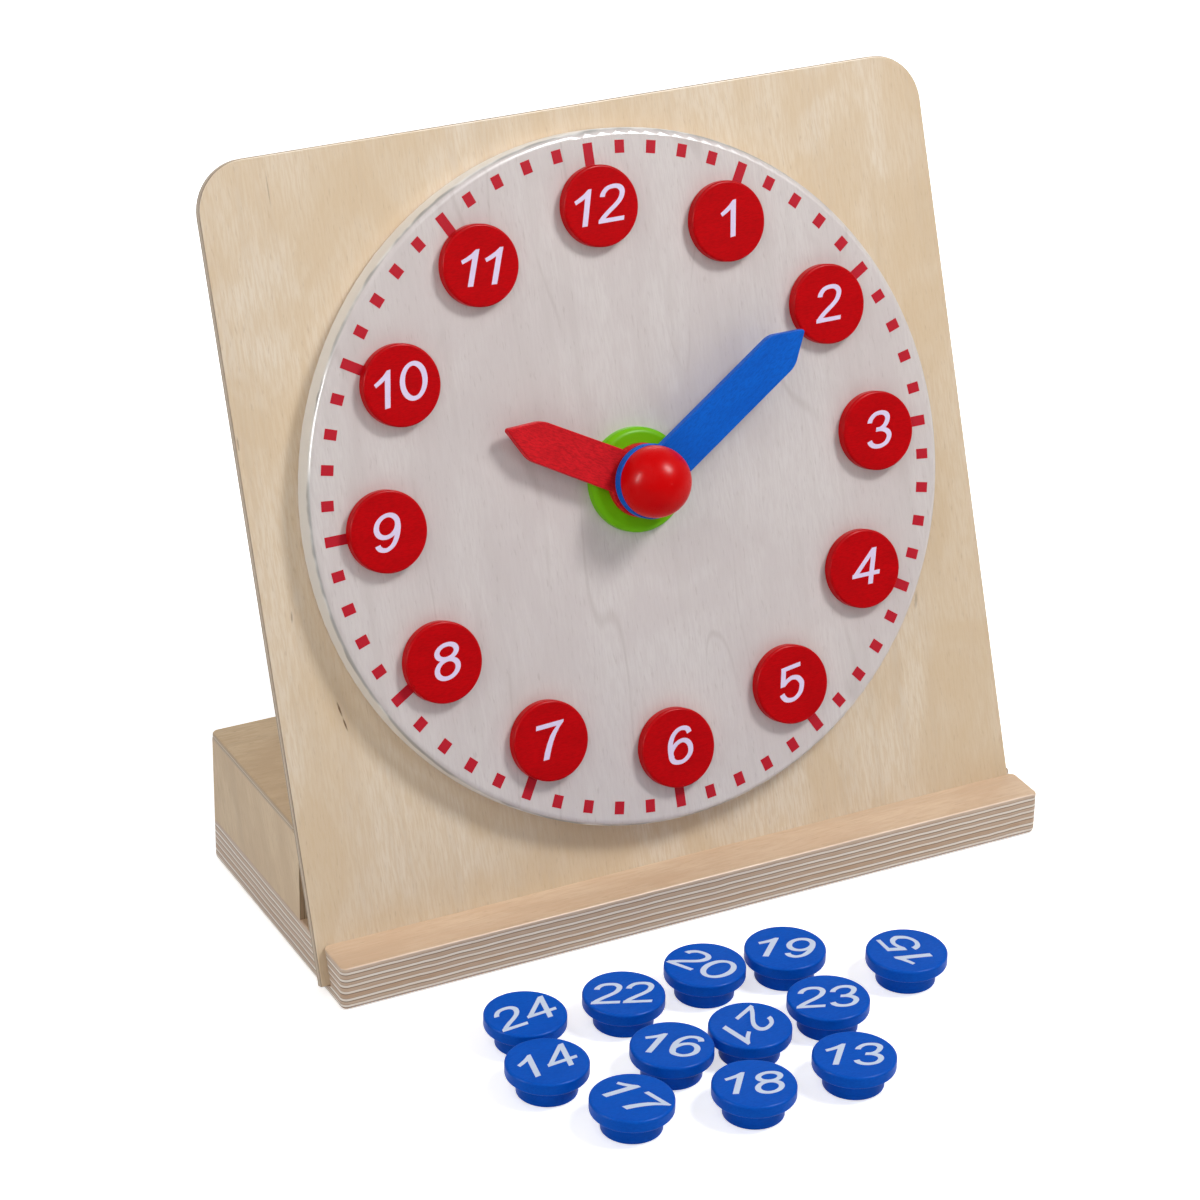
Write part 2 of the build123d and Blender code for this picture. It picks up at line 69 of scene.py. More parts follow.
# ---------------------------------------------------------------- sizes in metres, clock angles in degrees
BASE_THICK = 18.0 * MM
WALL_THICK = 9.0 * MM
LID_BOTTOM = 53.3 * MM
LID_THICK = 3.2 * MM
PANEL_THICK = 4.0 * MM
PANEL_REAR = -16.0 * MM
DIAL_THICK = 12.0 * MM
BASE_PLIES, WALL_PLIES, SHEET_PLIES, DIAL_PLIES = 13, 7, 3, 1
HOUR_STEP = 30
MINUTE_STEP = 6
HOUR_HAND_ANGLE = 298.6
MINUTE_HAND_ANGLE = 57.9
PEG_RING = 103.0 * MM
PEG_HEAD = 5.0 * MM
PRINT_THICK = 0.06 * MM
PRINT_GAP = 0.02 * MM
TICK_OUTER = 126.4 * MM
TICK_WIDTH = 3.9 * MM
TICK_SHORT = 4.9 * MM
TICK_LONG = 11.0 * MM
DIGIT_HEIGHT = 13.8 * MM
# In shares of a digit's height: from one digit to the next, less for a pair that needs it, and the pen
DIGIT_ADVANCE = 0.85
DIGIT_KERN = {"11": 0.155}
DIGIT_SLANT = math.tan(math.radians(15.5))
PEN_WIDTH = 0.151
PEN_HEIGHT = 0.113
# Each hour's number on its peg: off the middle to the right and up, in mm, and turned left, in degrees
HOUR_PRINTS = {
    1: (-0.4, 0.6, 6), 2: (0.0, 0.4, 0), 3: (0.4, 0.4, 0), 4: (0.8, 0.7, 0),
    5: (-0.4, 0.5, 8), 6: (0.8, 0.9, 2), 7: (-1.2, 0.2, 2.4), 8: (1.1, 0.3, 0),
    9: (-1.0, -0.1, 2), 10: (-0.7, 0.3, 6.6), 11: (-0.7, -0.6, -4), 12: (-0.8, 0.4, 0),
}
# Each loose peg's number turned right, seen from above, in degrees
LOOSE_TURNS = {
    13: 25, 14: -5, 15: -90, 16: 38, 17: 73, 18: 22, 19: 30, 20: 60, 21: 151, 22: 22, 23: 20, 24: -5,
}

# ---------------------------------------------------------------- camera
CAMERA_PLACE = Vector((-643.42, -1204.98, 806.87)) * MM
CAMERA_TARGET = Vector((-22.9, -16.42, 120.6)) * MM
CAMERA_ROLL = math.radians(0.974)
# Lens and sensor in mm, and the nearest and farthest that the camera sees in metres
CAMERA_LENS = 120.66
SENSOR_WIDTH = 36
CLIP_START, CLIP_END = 0.05, 50


def add_camera():
    """The photograph's camera."""
    data = bpy.data.cameras.new("camera")
    data.lens = CAMERA_LENS
    data.sensor_width = SENSOR_WIDTH
    data.sensor_fit = "HORIZONTAL"
    data.clip_start = CLIP_START
    data.clip_end = CLIP_END
    camera = bpy.data.objects.new("camera", data)
    bpy.context.scene.collection.objects.link(camera)
    camera.rotation_mode = "QUATERNION"
    camera.location = CAMERA_PLACE
    aim = (CAMERA_TARGET - CAMERA_PLACE).to_track_quat("-Z", "Y")
    camera.rotation_quaternion = aim @ Matrix.Rotation(CAMERA_ROLL, 3, "Z").to_quaternion()
    bpy.context.scene.camera = camera


add_camera()


def dial_place(right, up, out):
    """Matrix of a place on the dial: X right, Y up, Z out of its face."""
    spin = Matrix((RIGHTWARD, UPWARD, OUTWARD)).transposed().to_4x4()
    return Matrix.Translation(DIAL_CENTRE + RIGHTWARD * right + UPWARD * up + OUTWARD * out) @ spin


# ---------------------------------------------------------------- node helpers
# The colour sockets of Blender's mix node, which shares its socket names between kinds of data
MIX_FIRST, MIX_SECOND, MIX_RESULT = 6, 7, 2


def linear(red, green, blue):
    """Screen colour (sRGB), 0 to 255, as linear light."""
    def one(value):
        value /= 255
        return value / 12.92 if value <= 0.04045 else ((value + 0.055) / 1.055) ** 2.4
    return (one(red), one(green), one(blue), 1.0)


class Shade:
    """A node material under construction."""

    def __init__(self, name):
        self.material = bpy.data.materials.new(name)
        self.material.use_nodes = True
        self.tree = self.material.node_tree
        self.shader = self.tree.nodes["Principled BSDF"]
        self.place = self.node("ShaderNodeTexCoord").outputs["Object"]

    def node(self, kind, **settings):
        made = self.tree.nodes.new(kind)
        for key, value in settings.items():
            setattr(made, key, value)
        return made

    def put(self, socket, value):
        if isinstance(value, bpy.types.NodeSocket):
            self.tree.links.new(value, socket)
        else:
            socket.default_value = value

    def math(self, operation, *values):
        made = self.node("ShaderNodeMath", operation=operation)
        for socket, value in zip(made.inputs, values):
            self.put(socket, value)
        return made.outputs[0]

    def dot(self, vector, direction):
        made = self.node("ShaderNodeVectorMath", operation="DOT_PRODUCT")
        self.put(made.inputs[0], vector)
        self.put(made.inputs[1], tuple(direction))
        return made.outputs["Value"]

    def combine(self, x, y, z):
        made = self.node("ShaderNodeCombineXYZ")
        for socket, value in zip(made.inputs, (x, y, z)):
            self.put(socket, value)
        return made.outputs[0]

    def noise(self, vector, scale=1.0, detail=4.0, roughness=0.5, distortion=0.0):
        made = self.node("ShaderNodeTexNoise")
        self.put(made.inputs["Vector"], vector)
        self.put(made.inputs["Scale"], scale)
        self.put(made.inputs["Detail"], detail)
        self.put(made.inputs["Roughness"], roughness)
        self.put(made.inputs["Distortion"], distortion)
        return made.outputs["Fac"]

    def chance(self, value):
        """One random number for each whole number."""
        made = self.node("ShaderNodeTexWhiteNoise", noise_dimensions="1D")
        self.put(made.inputs["W"], value)
        return made.outputs["Value"]

    def ramp(self, value, low, high, to_low=0.0, to_high=1.0):
        made = self.node("ShaderNodeMapRange", interpolation_type="SMOOTHSTEP")
        for name, number in (("From Min", low), ("From Max", high), ("To Min", to_low), ("To Max", to_high)):
            made.inputs[name].default_value = number
        self.put(made.inputs["Value"], value)
        return made.outputs["Result"]

    def mix(self, amount, first, second):
        made = self.node("ShaderNodeMix", data_type="RGBA")
        self.put(made.inputs["Factor"], amount)
        self.put(made.inputs[MIX_FIRST], first)
        self.put(made.inputs[MIX_SECOND], second)
        return made.outputs[MIX_RESULT]

    def bump(self, height, strength):
        made = self.node("ShaderNodeBump")
        made.inputs["Strength"].default_value = strength
        made.inputs["Distance"].default_value = BUMP_DEPTH
        self.put(made.inputs["Height"], height)
        self.put(self.shader.inputs["Normal"], made.outputs["Normal"])

    def grain_vector(self, along, across, through, stretch):
        """Coordinates drawn out along the grain."""
        return self.combine(
            self.math("MULTIPLY", self.dot(self.place, across), stretch[0]),
            self.math("MULTIPLY", self.dot(self.place, along), stretch[1]),
            self.math("MULTIPLY", self.dot(self.place, through), stretch[0]),
        )


# ---------------------------------------------------------------- wood
BUMP_DEPTH = 0.0002
WOOD_GLOSS = 0.35
# Layers of a veneer, each over the one before: how fine it is across and along the grain; its noise's
# detail, roughness and distortion; where it starts and ends, and how far it mixes; and in which tone
VENEER = {
    "bands": ((26, 3.2), (3, 0.55, 0.9), (0.36, 0.66, 0.0, 0.50), "warm"),
    "patches": ((30, 17), (3, 0.5, 1.2), (0.42, 0.62, 0.0, 0.55), "warm"),
    "figure": ((110, 9), (4, 0.6, 0.5), (0.48, 0.74, 0.0, 0.20), "grey"),
    "fibres": ((1250, 110), (3, 0.65, 0.0), (0.40, 0.62, 0.0, 0.55), "warm"),
    "pores": ((1400, 210), (2, 0.5, 0.0), (0.60, 0.78, 0.0, 0.34), "grey"),
}
FIBRE_RISE, PORE_RISE = 0.6, -0.5


def wood_face(shade, along, across, through, pale, warm, grey, shift):
    """Veneer colour and relief: soft patches and bands, short fine fibres and dark pores."""
    moved = shade.node("ShaderNodeVectorMath", operation="ADD")
    shade.put(moved.inputs[0], shade.place)
    moved.inputs[1].default_value = (shift, shift * 0.7, shift * 1.3)
    shade.place = moved.outputs[0]
    colour = pale
    layers = {}
    for name, (stretch, texture, ramp, tone) in VENEER.items():
        layers[name] = shade.noise(shade.grain_vector(along, across, through, stretch), 1.0, *texture)
        colour = shade.mix(shade.ramp(layers[name], *ramp), colour, warm if tone == "warm" else grey)
    fibres = shade.math("MULTIPLY", layers["fibres"], FIBRE_RISE)
    pores = shade.math("MULTIPLY", layers["pores"], PORE_RISE)
    return colour, shade.math("ADD", fibres, pores)


def veins(shade, along, across, through, colour, dark, depth):
    """Thin wandering growth lines, here and there across a face."""
    field = shade.noise(shade.grain_vector(along, across, through, (15, 2.6)), 1.0, 2, 0.5, 0.5)
    rise = shade.math("PINGPONG", shade.math("MULTIPLY", field, 16.0), 1.0)
    here = shade.ramp(shade.noise(shade.grain_vector(along, across, through, (34, 13)), 1.0, 2), 0.46, 0.62)
    line_mask = shade.math("MULTIPLY", shade.ramp(rise, 0.0, 0.09, depth, 0.0), here)
    return shade.mix(line_mask, colour, dark)


# How far a ply's edge wanders, in shares of a ply; how dark glue is beside the darker ply; how far the
# glue lines lie from the pale ply's middle, in shares of a pair of plies; and how fine the streaks are
PLY_WANDER = 0.55
GLUE_SHADE = 0.42
GLUE_LINE = 0.22
STREAKS_ALONG, STREAKS_THROUGH = 150, 7.0
SECOND_DRAW = 31.0


def ply_edge(shade, through, start, thickness, plies, light, dark):
    """Edge of a stack of plies: wide bands of long grain, thin pale ones of end grain, dark glue between."""
    level = shade.math("DIVIDE", shade.math("SUBTRACT", shade.dot(shade.plain, through), start), thickness)
    wobble = shade.math("ADD", shade.noise(shade.plain, 16.0, 2), shade.noise(shade.plain, 75.0, 2))
    wander = shade.math("MULTIPLY", shade.math("SUBTRACT", wobble, 1.0), PLY_WANDER / plies)
    pair = shade.math("MULTIPLY", shade.math("ADD", level, wander), plies / 2)
    index = shade.math("FLOOR", pair)
    first, second = shade.chance(index), shade.chance(shade.math("ADD", index, SECOND_DRAW))
    centre = shade.math("ADD", shade.math("MULTIPLY", first, 0.16), 0.64)
    phase = shade.math("SUBTRACT", shade.math("SUBTRACT", pair, index), centre)
    streaks = shade.noise(shade.combine(
        shade.math("MULTIPLY", shade.dot(shade.plain, X), STREAKS_ALONG),
        shade.math("MULTIPLY", shade.dot(shade.plain, Y), STREAKS_ALONG),
        shade.math("MULTIPLY", pair, STREAKS_THROUGH)), 1.0, 4, 0.65)
    glue = tuple(value * GLUE_SHADE for value in dark[:3]) + (1.0,)
    middle = tuple((a + b) / 2 for a, b in zip(light, dark))
    colour = shade.mix(shade.math("MULTIPLY", second, 0.6), dark, middle)
    colour = shade.mix(shade.ramp(streaks, 0.35, 0.7, 0.0, 0.35), colour, middle)
    from_lower = shade.math("ABSOLUTE", shade.math("ADD", phase, GLUE_LINE))
    from_upper = shade.math("ABSOLUTE", shade.math("SUBTRACT", phase, GLUE_LINE))
    below = shade.ramp(from_lower, 0.04, 0.12, 0.9, 0.0)
    above = shade.ramp(from_upper, 0.02, 0.09, 0.5, 0.0)
    colour = shade.mix(shade.math("MAXIMUM", below, above), colour, glue)
    end_grain = shade.mix(shade.math("MULTIPLY", first, 0.3), light, middle)
    end_grain = shade.mix(shade.ramp(streaks, 0.45, 0.75, 0.0, 0.3), end_grain, middle)
    return shade.mix(shade.ramp(shade.math("ABSOLUTE", phase), 0.14, 0.19, 1.0, 0.0), colour, end_grain)


def plywood(name, along, across, through, start, thickness, plies, colours, finish, flecks=()):
    """Faces of veneer and edges of plies, under a satin or glazed finish.

    The plies lie across "through", from "start" on, and the face's grain runs along "along".
    """
    shade = Shade(name)
    shade.plain = shade.place
    pale, warm, grey, edge_light, edge_dark = colours
    face, height = wood_face(shade, along, across, through, pale, warm, grey, finish["shift"])
    if finish["veins"]:
        face = veins(shade, along, across, through, face, grey, finish["veins"])
    facing = shade.dot(shade.node("ShaderNodeTexCoord").outputs["Normal"], through)
    for spot in flecks:
        face = fleck(shade, face, shade.ramp(facing, 0.5, 0.8), spot)
    edge = ply_edge(shade, through, start, thickness, plies, edge_light, edge_dark)
    on_edge = shade.ramp(shade.math("ABSOLUTE", facing), 0.55, 0.8, 1.0, 0.0)
    shade.put(shade.shader.inputs["Base Color"], shade.mix(on_edge, face, edge))
    sheen = shade.ramp(height, 0.0, 0.6, finish["rough"] - 0.05, finish["rough"] + 0.08)
    shade.put(shade.shader.inputs["Roughness"], sheen)
    shade.shader.inputs["Specular IOR Level"].default_value = WOOD_GLOSS
    shade.shader.inputs["Coat Weight"].default_value = finish["coat"]
    shade.shader.inputs["Coat Roughness"].default_value = finish["coat_rough"]
    shade.bump(height, 0.10)
    return shade.material


def fleck(shade, colour, front, spot):
    """Small dark mark in the panel's front veneer, leaning to the right by a share of its height."""
    right, up, half_width, half_height, lean, depth = spot
    local = shade.node("ShaderNodeVectorMath", operation="SUBTRACT")
    shade.put(local.inputs[0], shade.plain)
    local.inputs[1].default_value = DIAL_CENTRE + RIGHTWARD * right + UPWARD * up
    x = shade.math("DIVIDE", shade.dot(local.outputs[0], RIGHTWARD - UPWARD * lean), half_width)
    y = shade.math("DIVIDE", shade.dot(local.outputs[0], UPWARD), half_height)
    reach = shade.math("SQRT", shade.math("ADD", shade.math("MULTIPLY", x, x), shade.math("MULTIPLY", y, y)))
    ragged = shade.math("ADD", reach, shade.math("MULTIPLY", shade.noise(shade.plain, 900.0, 2), 0.6))
    dark = shade.math("MULTIPLY", shade.ramp(ragged, 0.6, 1.4, depth, 0.0), front)
    return shade.mix(dark, colour, FLECK_BROWN)


# ---------------------------------------------------------------- stained, metal and printed finishes
def stained(name, colour, deep, along, rough, gloss, coat, grain=1.0):
    """Stained and lacquered wood or moulded plastic, its grain faint under the colour."""
    shade = Shade(name)
    across = along.orthogonal().normalized()
    through = along.cross(across)
    fibres = shade.noise(shade.grain_vector(along, across, through, (1900, 480)), 1.0, 4, 0.7)
    cloud = shade.noise(shade.grain_vector(along, across, through, (160, 60)), 1.0, 3)
    tint = shade.mix(shade.ramp(fibres, 0.38, 0.68, 0.0, 0.70 * grain), colour, deep)
    tint = shade.mix(shade.ramp(cloud, 0.35, 0.7, 0.0, 0.30 * grain), tint, deep)
    shade.put(shade.shader.inputs["Base Color"], tint)
    shade.put(shade.shader.inputs["Roughness"], shade.ramp(fibres, 0.3, 0.75, rough - 0.04, rough + 0.07))
    shade.shader.inputs["Specular IOR Level"].default_value = gloss
    shade.shader.inputs["Coat Weight"].default_value = coat
    shade.shader.inputs["Coat Roughness"].default_value = LACQUER_ROUGH
    shade.bump(fibres, 0.15 * grain)
    return shade.material


def metal(name, colour, rough):
    """Metal with faint specks of wear."""
    shade = Shade(name)
    wear = shade.noise(shade.place, 900.0, 3)
    worn = tuple(value * WORN_SHADE for value in colour[:3]) + (1,)
    tint = shade.mix(shade.ramp(wear, 0.3, 0.8, 0.0, 0.3), colour, worn)
    shade.put(shade.shader.inputs["Base Color"], tint)
    shade.put(shade.shader.inputs["Roughness"], shade.ramp(wear, 0.3, 0.8, rough, rough + 0.15))
    shade.shader.inputs["Metallic"].default_value = 1.0
    return shade.material


def printed(name, colour):
    """Printing ink, slightly speckled."""
    shade = Shade(name)
    speck = shade.noise(shade.place, 2500.0, 3)
    darker = (colour[0] * 0.8, colour[1] * 0.8, colour[2] * 0.82, 1)
    tint = shade.mix(shade.ramp(speck, 0.4, 0.8, 0.0, 0.35), colour, darker)
    shade.put(shade.shader.inputs["Base Color"], tint)
    shade.put(shade.shader.inputs["Roughness"], shade.ramp(speck, 0.3, 0.8, 0.38, 0.5))
    shade.shader.inputs["Specular IOR Level"].default_value = INK_GLOSS
    return shade.material


def along_hand(clock_angle):
    """Direction of a hand on the dial, from its angle clockwise from twelve."""
    angle = math.radians(clock_angle)
    return UPWARD * math.cos(angle) + RIGHTWARD * math.sin(angle)


X, Y, Z = Vector((1, 0, 0)), Vector((0, 1, 0)), Vector((0, 0, 1))
WALL_GRAIN = Vector((0, 0.38, 0.925))
LACQUER_ROUGH = 0.2
WORN_SHADE = 0.7
INK_GLOSS = 0.12
# Each set of five: pale and warm veneer, its pores, and at the edges end grain and long grain
BIRCH = (
    linear(217, 190, 161), linear(204, 171, 140), linear(172, 138, 108),
    linear(231, 222, 211), linear(180, 145, 114),
)
BIRCH_DULL = (
    linear(214, 189, 153), linear(193, 163, 125), linear(150, 121, 90),
    linear(196, 175, 148), linear(178, 150, 120),
)
BIRCH_PALE = (
    linear(225, 209, 188), linear(210, 184, 149), linear(180, 152, 121),
    linear(204, 186, 160), linear(164, 136, 108),
)
WASHED = (
    linear(212, 204, 201), linear(201, 190, 188), linear(170, 156, 151),
    linear(234, 231, 227), linear(228, 224, 219),
)
FLECK_BROWN = linear(112, 82, 54)
# The shift moves a piece's grain, so that no two kinds of piece have the same
SATIN = {"rough": 0.46, "coat": 0.06, "coat_rough": 0.32, "shift": 0.0, "veins": 0.0}
GLAZED = dict(SATIN, rough=0.42, coat=0.32, coat_rough=0.14, shift=0.83, veins=0.30)

# Right, up, half width, half height, lean and depth of each mark on the panel's front
PANEL_FLECKS = (
    (-126.2 * MM, -63 * MM, 0.50 * MM, 3.6 * MM, -0.22, 1.0),
    (-124.9 * MM, -69 * MM, 0.45 * MM, 3.0 * MM, -0.22, 1.0),
    (-122.5 * MM, 128 * MM, 0.35 * MM, 7.0 * MM, 0.0, 0.4),
    (-149 * MM, 40 * MM, 0.5 * MM, 3.0 * MM, 0.0, 0.5),
    (-139 * MM, -26 * MM, 0.5 * MM, 2.5 * MM, 0.1, 0.5),
    (119 * MM, -71 * MM, 0.9 * MM, 4.0 * MM, 0.2, 0.35),
)
panel_start = DIAL_CENTRE.dot(OUTWARD) + PANEL_REAR
dial_start = DIAL_CENTRE.dot(OUTWARD) - DIAL_THICK

materials = {
    "base": plywood(
        "base_birch", X, Y, Z, 0.0, BASE_THICK, BASE_PLIES, BIRCH, dict(SATIN, shift=0.31)),
    "panel": plywood(
        "panel_birch", UPWARD, RIGHTWARD, OUTWARD, panel_start, PANEL_THICK, SHEET_PLIES, BIRCH_PALE,
        SATIN, PANEL_FLECKS),
    "dial": plywood(
        "dial_whitewash", UPWARD, RIGHTWARD, OUTWARD, dial_start, DIAL_THICK, DIAL_PLIES, WASHED, GLAZED),
    "wall_x": plywood(
        "side_wall_birch", WALL_GRAIN, X.cross(WALL_GRAIN), X, 0.0, WALL_THICK, WALL_PLIES, BIRCH_DULL,
        dict(SATIN, shift=0.53)),
    "wall_y": plywood(
        "end_wall_birch", X, Z, Y, 0.0, WALL_THICK, WALL_PLIES, BIRCH_DULL, dict(SATIN, shift=0.67)),
    "lid": plywood(
        "lid_birch", X, Y, Z, LID_BOTTOM, LID_THICK, SHEET_PLIES, BIRCH_DULL, dict(SATIN, shift=0.17)),
    "green": stained(
        "green_plastic", linear(112, 186, 10), linear(104, 176, 8), UPWARD, 0.34, 0.06, 0.0, 0.2),
    "red_hand": stained(
        "red_stain_hand", linear(220, 28, 38), linear(160, 8, 20), along_hand(HOUR_HAND_ANGLE),
        0.42, 0.06, 0.0),
    "blue_hand": stained(
        "blue_stain_hand", linear(8, 98, 204), linear(2, 72, 170), along_hand(MINUTE_HAND_ANGLE),
        0.42, 0.06, 0.0),
    "red_peg": stained(
        "red_stain_peg", linear(196, 3, 12), linear(158, 1, 6), RIGHTWARD, 0.34, 0.04, 0.02, 0.8),
    "blue_peg": stained(
        "blue_stain_peg", linear(3, 88, 198), linear(1, 70, 172), X, 0.34, 0.04, 0.02, 0.6),
    "red_knob": stained(
        "red_lacquer_knob", linear(208, 1, 4), linear(194, 0, 3), UPWARD, 0.30, 0.05, 0.02, 0.1),
    "gear": stained(
        "gear_plastic", linear(232, 230, 222), linear(220, 216, 206), OUTWARD, 0.5, 0.3, 0.0, 0.1),
    "steel": metal("zinc_steel", (0.62, 0.62, 0.64, 1), 0.32),
    "brass": metal("brass", (0.72, 0.52, 0.24, 1), 0.30),
    "tick": printed("tick_red", linear(188, 24, 42)),
    "print_red": printed("numeral_lavender", linear(226, 210, 238)),
    "print_blue": printed("numeral_white", linear(208, 222, 242)),
}

# A node's finish goes by its name, or else by a part of its name, and is otherwise steel
FINISH_OF = {
    "base_slab": "base", "back_panel": "panel", "dial_disc": "dial", "lid": "lid",
    "wall_left": "wall_x", "wall_right": "wall_x", "wall_front": "wall_y", "wall_back": "wall_y",
    "green_washer": "green", "hour_hand": "red_hand", "minute_hand": "blue_hand", "hand_knob": "red_knob",
    "rear_bush": "brass", "hour_pipe": "brass",
}
FINISH_OF_KIND = {
    "red_peg": "red_peg", "blue_peg": "blue_peg", "wheel": "gear", "pinion": "gear", "leaf": "brass",
}


def finish_of(name):
    """The finish of a node."""
    if name in FINISH_OF:
        return FINISH_OF[name]
    for kind, finish in FINISH_OF_KIND.items():
        if kind in name:
            return finish
    return "steel"


for name, node in NODES.items():
    node.data.materials.clear()
    node.data.materials.append(materials[finish_of(name)])


# ---------------------------------------------------------------- numerals
OVAL_STEPS = 48
CURVE_STEPS = 5


def oval(centre, radii, lean=0.0):
    """Points round an ellipse that leans back by a share of its height."""
    made = []
    for step in range(OVAL_STEPS):
        angle = 2 * math.pi * step / OVAL_STEPS
        x, y = radii[0] * math.cos(angle), radii[1] * math.sin(angle)
        made.append(Vector((centre[0] + x - lean * y, centre[1] + y)))
    return made


def smooth(*points, closed=False):
    """Points along a smooth curve (Catmull-Rom) through the given ones."""
    keys = [Vector(point) for point in points]
    count = len(keys)
    spans = count if closed else count - 1
    made = []
    for index in range(spans):
        if closed:
            a, b, c, d = (keys[(index + step) % count] for step in (-1, 0, 1, 2))
        else:
            b, c = keys[index], keys[index + 1]
            a = keys[index - 1] if index else b * 2 - c
            d = keys[index + 2] if index + 2 < count else c * 2 - b
        for step in range(CURVE_STEPS):
            s = step / CURVE_STEPS
            made.append(b + (c - a) * (s / 2) + (a * 2 - b * 5 + c * 4 - d) * (s * s / 2)
                        + (b * 3 - a - c * 3 + d) * (s ** 3 / 2))
    if not closed:
        made.append(keys[-1])
    return made


def line(*points):
    """Straight legs from point to point."""
    return [Vector(point) for point in points]


# Strokes of each digit, upright, in shares of its height: right of its middle and up from its foot.
# A pen draws the open ones and the loops, and an outline is filled as it is.
OUTLINE, OPEN, LOOP = "outline", "open", "loop"
DIGITS = {
    "0": [(oval((0.0, 0.49), (0.331, 0.451), 0.12), LOOP)],
    "1": [(line((0.0, 0.0), (0.16, 0.0), (0.16, 0.965), (0.063, 0.965), (-0.053, 0.857), (-0.193, 0.769),
                (-0.322, 0.703), (-0.263, 0.605), (-0.105, 0.675), (-0.002, 0.735)), OUTLINE)],
    "2": [(smooth((-0.336, 0.705), (-0.315, 0.80), (-0.215, 0.91), (-0.045, 0.945), (0.125, 0.92),
                  (0.235, 0.825), (0.259, 0.711), (0.215, 0.57), (0.09, 0.435), (-0.08, 0.30),
                  (-0.225, 0.165), (-0.295, 0.06)), OPEN),
          (line((-0.367, 0.066), (0.399, 0.066)), OPEN)],
    "3": [(smooth((-0.325, 0.700), (-0.30, 0.80), (-0.19, 0.91), (-0.028, 0.94), (0.125, 0.91), (0.225, 0.82),
                  (0.241, 0.711), (0.19, 0.585), (0.06, 0.50), (-0.09, 0.491)), OPEN),
          (smooth((-0.09, 0.491), (0.06, 0.487), (0.18, 0.455), (0.30, 0.38), (0.357, 0.257), (0.30, 0.11),
                  (0.19, 0.045), (0.06, 0.022), (-0.10, 0.05), (-0.215, 0.125), (-0.268, 0.205)), OPEN)],
    "4": [(line((0.224, 0.0), (0.224, 0.984)), OPEN), (line((-0.388, 0.288), (0.486, 0.288)), OPEN),
          (line((-0.31, 0.29), (0.20, 0.93)), OPEN)],
    "5": [(line((-0.378, 0.906), (0.245, 0.906)), OPEN), (line((-0.300, 0.90), (-0.337, 0.455)), OPEN),
          (smooth((-0.30, 0.505), (-0.22, 0.565), (-0.12, 0.605), (-0.01, 0.62), (0.147, 0.565),
                  (0.255, 0.44), (0.28, 0.343), (0.234, 0.168), (0.112, 0.063), (-0.045, 0.029),
                  (-0.22, 0.08), (-0.325, 0.185), (-0.365, 0.268)), OPEN)],
    "6": [(smooth((0.077, 0.039), (0.23, 0.09), (0.33, 0.20), (0.348, 0.32), (0.31, 0.455), (0.20, 0.575),
                  (0.06, 0.62), (-0.09, 0.58), (-0.20, 0.48), (-0.262, 0.35), (-0.235, 0.205), (-0.13, 0.085),
                  closed=True), LOOP),
          (smooth((0.265, 0.785), (0.20, 0.89), (0.09, 0.943), (-0.02, 0.95), (-0.14, 0.91), (-0.245, 0.80),
                  (-0.30, 0.64), (-0.302, 0.50), (-0.275, 0.34), (-0.22, 0.20)), OPEN)],
    "7": [(line((-0.413, 0.965), (0.412, 0.965), (0.412, 0.909), (0.314, 0.797), (0.216, 0.64), (0.14, 0.447),
                (0.087, 0.237), (0.052, 0.0), (-0.123, 0.0), (-0.098, 0.2025), (-0.042, 0.412), (0.028, 0.605),
                (0.122, 0.745), (0.216, 0.843), (-0.413, 0.843))[::-1], OUTLINE)],
    "8": [(oval((-0.021, 0.724), (0.283, 0.192)), LOOP), (oval((0.066, 0.266), (0.304, 0.25)), LOOP)],
    "9": [(oval((-0.010, 0.667), (0.309, 0.285), 0.04), LOOP),
          (smooth((0.275, 0.78), (0.312, 0.64), (0.322, 0.52), (0.301, 0.328), (0.22, 0.153), (0.10, 0.07),
                  (0.0, 0.052), (-0.129, 0.09), (-0.21, 0.16), (-0.234, 0.21)), OPEN)],
}
# A digit is built this deep and then flattened; each further stroke is deeper by a step, so that no two
# strokes share a face when they are united
DIGIT_SOLID_DEPTH = 0.1
STROKE_STEP = 0.002


def pen_edges(path, closed):
    """The two edges of a stroke drawn with an oval pen, wider than it is high."""
    squeeze = PEN_WIDTH / PEN_HEIGHT
    path = [Vector((point.x, point.y * squeeze)) for point in path]
    count = len(path)
    edges = ([], [])
    for index, point in enumerate(path):
        legs = []
        if index or closed:
            legs.append((point - path[index - 1]).normalized())
        if index < count - 1 or closed:
            legs.append((path[(index + 1) % count] - point).normalized())
        along = sum(legs, Vector((0, 0))).normalized()
        aside = Vector((-along.y, along.x)) * (PEN_WIDTH / 2 / along.dot(legs[0]))
        for edge, sign in zip(edges, (1, -1)):
            spot = point + aside * sign
            edge.append(Vector((spot.x, spot.y / squeeze)))
    return edges


